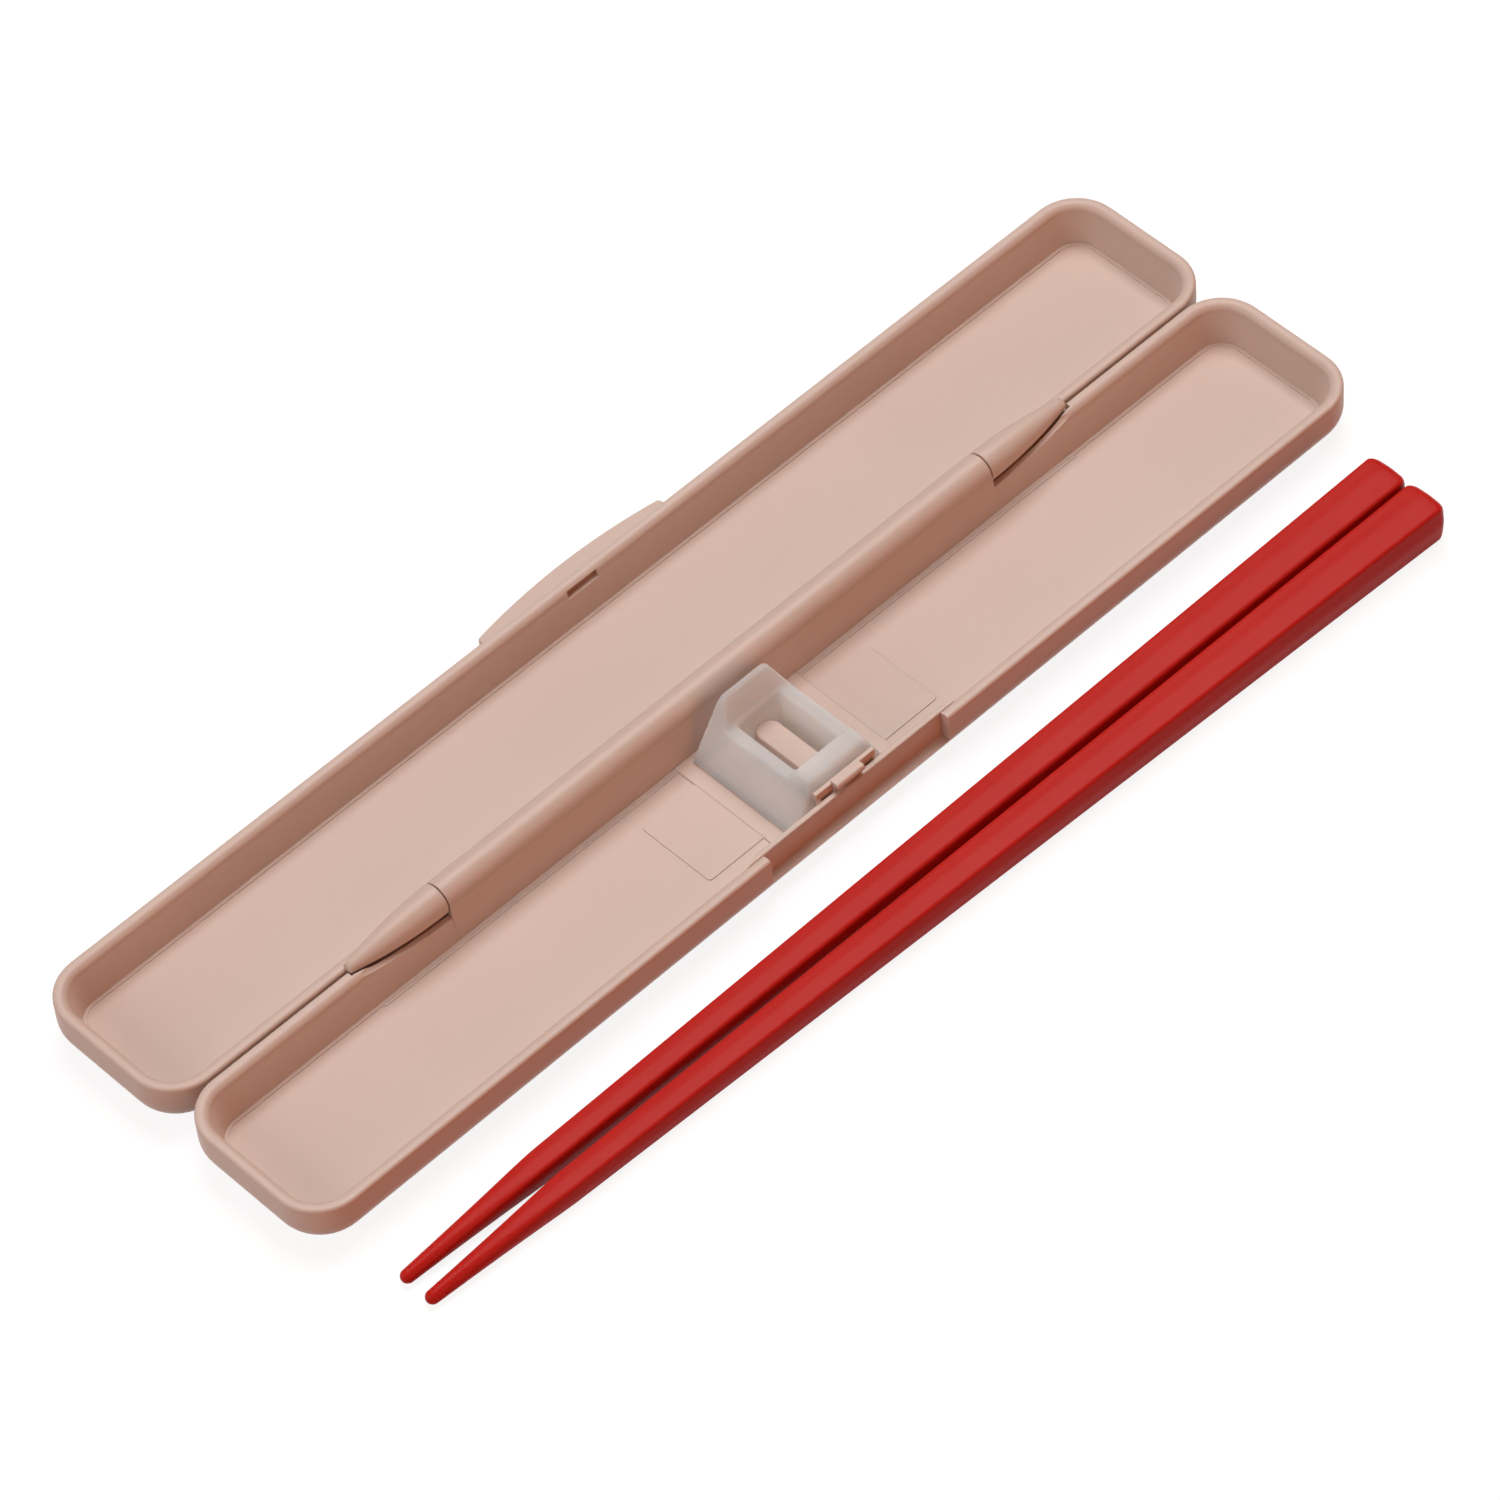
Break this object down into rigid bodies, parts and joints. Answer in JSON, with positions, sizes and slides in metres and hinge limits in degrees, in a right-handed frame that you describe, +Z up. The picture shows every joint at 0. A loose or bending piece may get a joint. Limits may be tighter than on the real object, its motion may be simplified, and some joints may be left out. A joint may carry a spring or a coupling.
{
  "type": "portable chopstick case",
  "caption": "Slim two-tray hinged case with a barrel hinge, snap catch, finger lip and soft cradle that keeps a pair of chopsticks from rattling.",
  "frame": {"origin": "middle of the base tray's flat underside", "axes": "+X along the case, +Y from the base tray to the lid that lies open beside it, +Z up"},
  "size_m": [0.195, 0.0807, 0.0128],
  "materials": {
    "case_plastic": "satin dusty pink moulded plastic",
    "cradle_elastomer": "soft translucent whitish elastomer",
    "stick_red": "smooth red moulded resin"
  },
  "bodies": {
    "base": {"base_tray": "case_plastic", "chopstick_cradle": "cradle_elastomer"},
    "lid": {"lid_tray": "case_plastic"},
    "rear_stick": {"chopstick_rear": "stick_red"},
    "front_stick": {"chopstick_front": "stick_red"}
  },
  "joints": [
    {"name": "lid_hinge", "type": "hinge", "parent": "base", "child": "lid", "pos_m": [0, 0.014, 0.0078], "axis": [1, 0, 0], "range_deg": [0, 180]},
    {"name": "rear_stick_lift", "type": "slide", "parent": "base", "child": "rear_stick", "axis": [0, 0, 1], "range_m": [0, 0.1]},
    {"name": "front_stick_lift", "type": "slide", "parent": "base", "child": "front_stick", "axis": [0, 0, 1], "range_m": [0, 0.1]}
  ]
}
